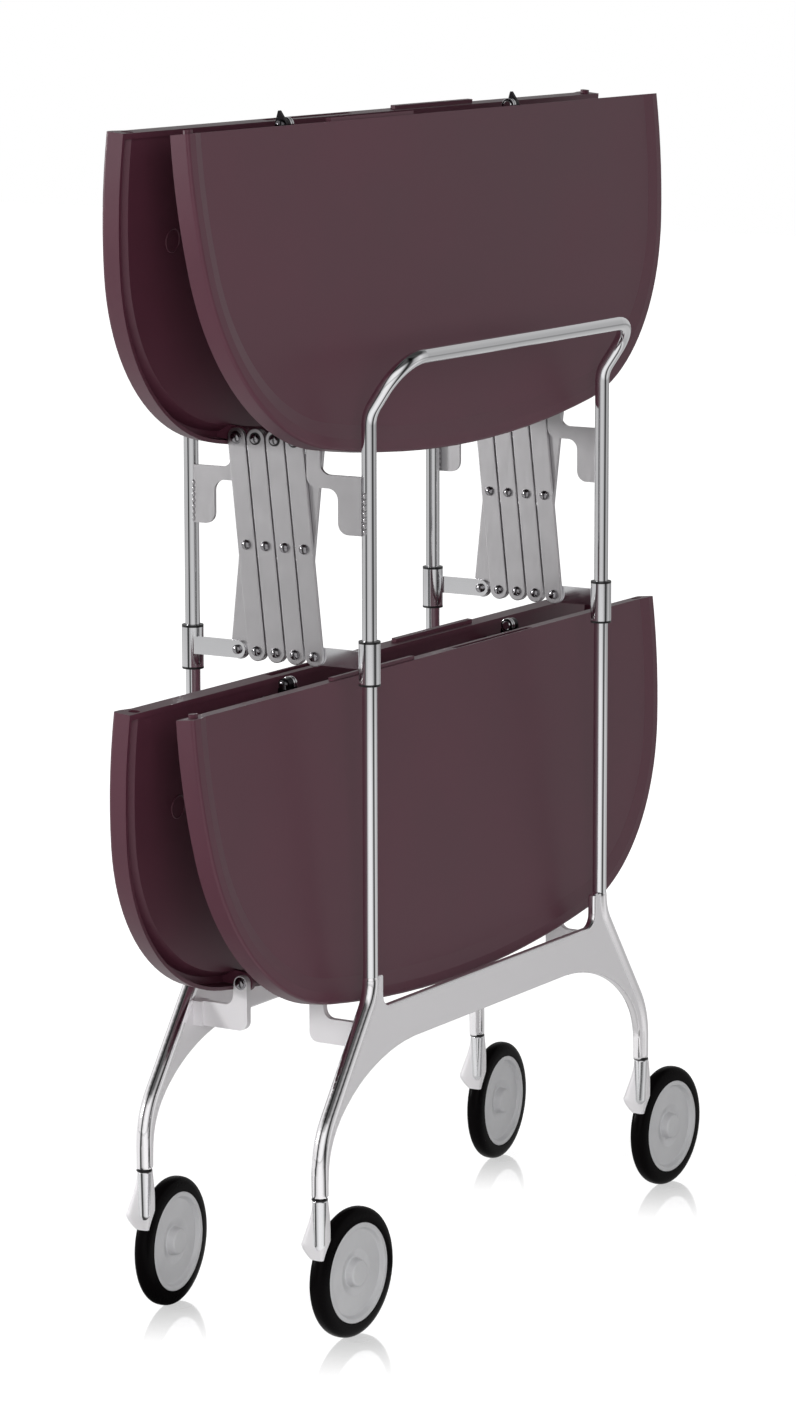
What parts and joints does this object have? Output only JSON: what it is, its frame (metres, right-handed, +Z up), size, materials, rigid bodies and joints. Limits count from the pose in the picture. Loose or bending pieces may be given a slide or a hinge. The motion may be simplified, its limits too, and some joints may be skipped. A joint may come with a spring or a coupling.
{
  "type": "folding serving trolley",
  "caption": "Folding serving trolley with split D-shaped trays, tubular handles, scissor linkages and swivel casters, stored folded.",
  "frame": {"origin": "on the floor, at the centre of the folded trolley's footprint", "axes": "+Z up; X along the straight edges of the tray halves and the handle bars; Y through the thickness of the folded trolley, the front frame at -Y and the rear frame at +Y"},
  "size_m": [0.6486, 0.2112, 0.8564],
  "materials": {
    "tray": "fine satin grain",
    "tube_chrome": "bright chrome plate",
    "cast_alloy": "satin, lightly polished",
    "link_steel": "satin grey",
    "bracket_steel": "satin grey",
    "fastener_chrome": "bright",
    "collar_chrome": "bright chrome plate",
    "bush": "black",
    "fork": "satin",
    "wheel_grey": "smooth light grey",
    "tyre": "glossy black"
  },
  "bodies": {
    "front_frame": {"front_handle_tube": "tube_chrome", "front_leg_casting": "cast_alloy", "front_upper_brackets": "bracket_steel", "front_lower_brackets": "bracket_steel", "front_pivot_pins": "fastener_chrome"},
    "rear_frame": {"rear_handle_tube": "tube_chrome", "rear_leg_casting": "cast_alloy", "rear_upper_brackets": "bracket_steel", "rear_lower_brackets": "bracket_steel", "rear_pivot_pins": "fastener_chrome"},
    "upper_front_half": {"upper_front_tray_half": "tray", "upper_front_hinge_leaves": "collar_chrome", "upper_hinge_pins": "fastener_chrome"},
    "upper_rear_half": {"upper_rear_tray_half": "tray", "upper_rear_hinge_leaves": "collar_chrome"},
    "lower_front_half": {"lower_front_tray_half": "tray", "lower_front_hinge_leaves": "collar_chrome", "lower_hinge_pins": "fastener_chrome"},
    "lower_rear_half": {"lower_rear_tray_half": "tray", "lower_rear_hinge_leaves": "collar_chrome"},
    "front_link_1": {"front_left_link_1": "link_steel", "front_right_link_1": "link_steel"},
    "front_link_2": {"front_left_link_2": "link_steel", "front_right_link_2": "link_steel", "front_link_2_rivets": "fastener_chrome"},
    "front_link_3": {"front_left_link_3": "link_steel", "front_right_link_3": "link_steel", "front_link_3_rivets": "fastener_chrome"},
    "front_link_4": {"front_left_link_4": "link_steel", "front_right_link_4": "link_steel", "front_link_4_rivets": "fastener_chrome"},
    "front_collars": {"front_left_collar": "collar_chrome", "front_right_collar": "collar_chrome", "front_collar_bushes": "bush"},
    "front_left_caster": {"front_left_caster_fork": "fork"},
    "front_left_wheel": {"front_left_wheel_disc": "wheel_grey", "front_left_tyre": "tyre"},
    "front_right_caster": {"front_right_caster_fork": "fork"},
    "front_right_wheel": {"front_right_wheel_disc": "wheel_grey", "front_right_tyre": "tyre"},
    "rear_link_1": {"rear_left_link_1": "link_steel", "rear_right_link_1": "link_steel"},
    "rear_link_2": {"rear_left_link_2": "link_steel", "rear_right_link_2": "link_steel", "rear_link_2_rivets": "fastener_chrome"},
    "rear_link_3": {"rear_left_link_3": "link_steel", "rear_right_link_3": "link_steel", "rear_link_3_rivets": "fastener_chrome"},
    "rear_link_4": {"rear_left_link_4": "link_steel", "rear_right_link_4": "link_steel", "rear_link_4_rivets": "fastener_chrome"},
    "rear_collars": {"rear_left_collar": "collar_chrome", "rear_right_collar": "collar_chrome", "rear_collar_bushes": "bush"},
    "rear_left_caster": {"rear_left_caster_fork": "fork"},
    "rear_left_wheel": {"rear_left_wheel_disc": "wheel_grey", "rear_left_tyre": "tyre"},
    "rear_right_caster": {"rear_right_caster_fork": "fork"},
    "rear_right_wheel": {"rear_right_wheel_disc": "wheel_grey", "rear_right_tyre": "tyre"}
  },
  "joints": [
    {"name": "upper_front_fold", "type": "hinge", "parent": "front_frame", "child": "upper_front_half", "pos_m": [0, -0.0318, 0.6295], "axis": [-1, 0, 0], "range_deg": [0, 84.6]},
    {"name": "upper_centre_fold", "type": "hinge", "parent": "upper_front_half", "child": "upper_rear_half", "pos_m": [0, 0, 0.8465], "axis": [1, 0, 0], "range_deg": [0, 169.2]},
    {"name": "upper_rear_fold", "type": "hinge", "parent": "upper_rear_half", "child": "rear_frame", "pos_m": [0, 0.0318, 0.6295], "axis": [-1, 0, 0], "range_deg": [0, 84.6]},
    {"name": "lower_front_fold", "type": "hinge", "parent": "front_frame", "child": "lower_front_half", "pos_m": [0, -0.0318, 0.2385], "axis": [-1, 0, 0], "range_deg": [0, 84.6]},
    {"name": "lower_rear_fold", "type": "hinge", "parent": "rear_frame", "child": "lower_rear_half", "pos_m": [0, 0.0318, 0.2385], "axis": [1, 0, 0], "range_deg": [0, 84.6]},
    {"name": "rear_link_1_pivot", "type": "hinge", "parent": "rear_frame", "child": "rear_link_1", "pos_m": [0, 0.0318, 0.6295], "axis": [-1, 0, 0], "range_deg": [0, 40.59]},
    {"name": "rear_link_2_pivot", "type": "hinge", "parent": "rear_link_1", "child": "rear_link_2", "pos_m": [0, 0.02385, 0.55462], "axis": [1, 0, 0], "range_deg": [0, 81.18]},
    {"name": "rear_collar_pivot", "type": "hinge", "parent": "rear_link_2", "child": "rear_collars", "pos_m": [0, 0.0318, 0.47974], "axis": [-1, 0, 0], "range_deg": [0, 40.59]},
    {"name": "rear_link_3_pivot", "type": "hinge", "parent": "rear_link_2", "child": "rear_link_3", "pos_m": [0, 0.0159, 0.6295], "axis": [-1, 0, 0], "range_deg": [0, 81.18]},
    {"name": "rear_link_4_pivot", "type": "hinge", "parent": "rear_link_3", "child": "rear_link_4", "pos_m": [0, 0.00795, 0.55462], "axis": [1, 0, 0], "range_deg": [0, 81.18]},
    {"name": "front_link_1_pivot", "type": "hinge", "parent": "front_frame", "child": "front_link_1", "pos_m": [0, -0.0318, 0.6295], "axis": [1, 0, 0], "range_deg": [0, 40.59]},
    {"name": "front_link_2_pivot", "type": "hinge", "parent": "front_link_1", "child": "front_link_2", "pos_m": [0, -0.02385, 0.55462], "axis": [-1, 0, 0], "range_deg": [0, 81.18]},
    {"name": "front_collar_pivot", "type": "hinge", "parent": "front_link_2", "child": "front_collars", "pos_m": [0, -0.0318, 0.47974], "axis": [1, 0, 0], "range_deg": [0, 40.59]},
    {"name": "front_link_3_pivot", "type": "hinge", "parent": "front_link_2", "child": "front_link_3", "pos_m": [0, -0.0159, 0.6295], "axis": [1, 0, 0], "range_deg": [0, 81.18]},
    {"name": "front_link_4_pivot", "type": "hinge", "parent": "front_link_3", "child": "front_link_4", "pos_m": [0, -0.00795, 0.55462], "axis": [-1, 0, 0], "range_deg": [0, 81.18]},
    {"name": "front_left_caster_swivel", "type": "hinge", "parent": "front_frame", "child": "front_left_caster", "pos_m": [-0.2331, -0.0736, 0.1107], "axis": [0, 0, 1], "continuous": true},
    {"name": "front_left_wheel_spin", "type": "hinge", "parent": "front_left_caster", "child": "front_left_wheel", "pos_m": [-0.1894, -0.07221, 0.0468], "axis": [0.0436, 0.999, 0], "continuous": true},
    {"name": "front_right_caster_swivel", "type": "hinge", "parent": "front_frame", "child": "front_right_caster", "pos_m": [0.2331, -0.0736, 0.1107], "axis": [0, 0, 1], "continuous": true},
    {"name": "front_right_wheel_spin", "type": "hinge", "parent": "front_right_caster", "child": "front_right_wheel", "pos_m": [0.2768, -0.07221, 0.0468], "axis": [0.0436, 0.999, 0], "continuous": true},
    {"name": "rear_left_caster_swivel", "type": "hinge", "parent": "rear_frame", "child": "rear_left_caster", "pos_m": [-0.2331, 0.0736, 0.1107], "axis": [0, 0, 1], "continuous": true},
    {"name": "rear_left_wheel_spin", "type": "hinge", "parent": "rear_left_caster", "child": "rear_left_wheel", "pos_m": [-0.18995, 0.08069, 0.0468], "axis": [-0.0872, 0.9962, 0], "continuous": true},
    {"name": "rear_right_caster_swivel", "type": "hinge", "parent": "rear_frame", "child": "rear_right_caster", "pos_m": [0.2331, 0.0736, 0.1107], "axis": [0, 0, 1], "continuous": true},
    {"name": "rear_right_wheel_spin", "type": "hinge", "parent": "rear_right_caster", "child": "rear_right_wheel", "pos_m": [0.27625, 0.08069, 0.0468], "axis": [-0.0872, 0.9962, 0], "continuous": true}
  ],
  "couplings": [
    {"joint": "upper_centre_fold", "follows": "upper_front_fold", "ratio": 2},
    {"joint": "upper_rear_fold", "follows": "upper_front_fold", "ratio": 1},
    {"joint": "lower_front_fold", "follows": "upper_front_fold", "ratio": 1},
    {"joint": "lower_rear_fold", "follows": "upper_front_fold", "ratio": 1},
    {"joint": "rear_link_1_pivot", "follows": "upper_front_fold", "ratio": 0.4798},
    {"joint": "rear_link_2_pivot", "follows": "upper_front_fold", "ratio": 0.9596},
    {"joint": "rear_collar_pivot", "follows": "upper_front_fold", "ratio": 0.4798},
    {"joint": "rear_link_3_pivot", "follows": "upper_front_fold", "ratio": 0.9596},
    {"joint": "rear_link_4_pivot", "follows": "upper_front_fold", "ratio": 0.9596},
    {"joint": "front_link_1_pivot", "follows": "upper_front_fold", "ratio": 0.4798},
    {"joint": "front_link_2_pivot", "follows": "upper_front_fold", "ratio": 0.9596},
    {"joint": "front_collar_pivot", "follows": "upper_front_fold", "ratio": 0.4798},
    {"joint": "front_link_3_pivot", "follows": "upper_front_fold", "ratio": 0.9596},
    {"joint": "front_link_4_pivot", "follows": "upper_front_fold", "ratio": 0.9596}
  ]
}
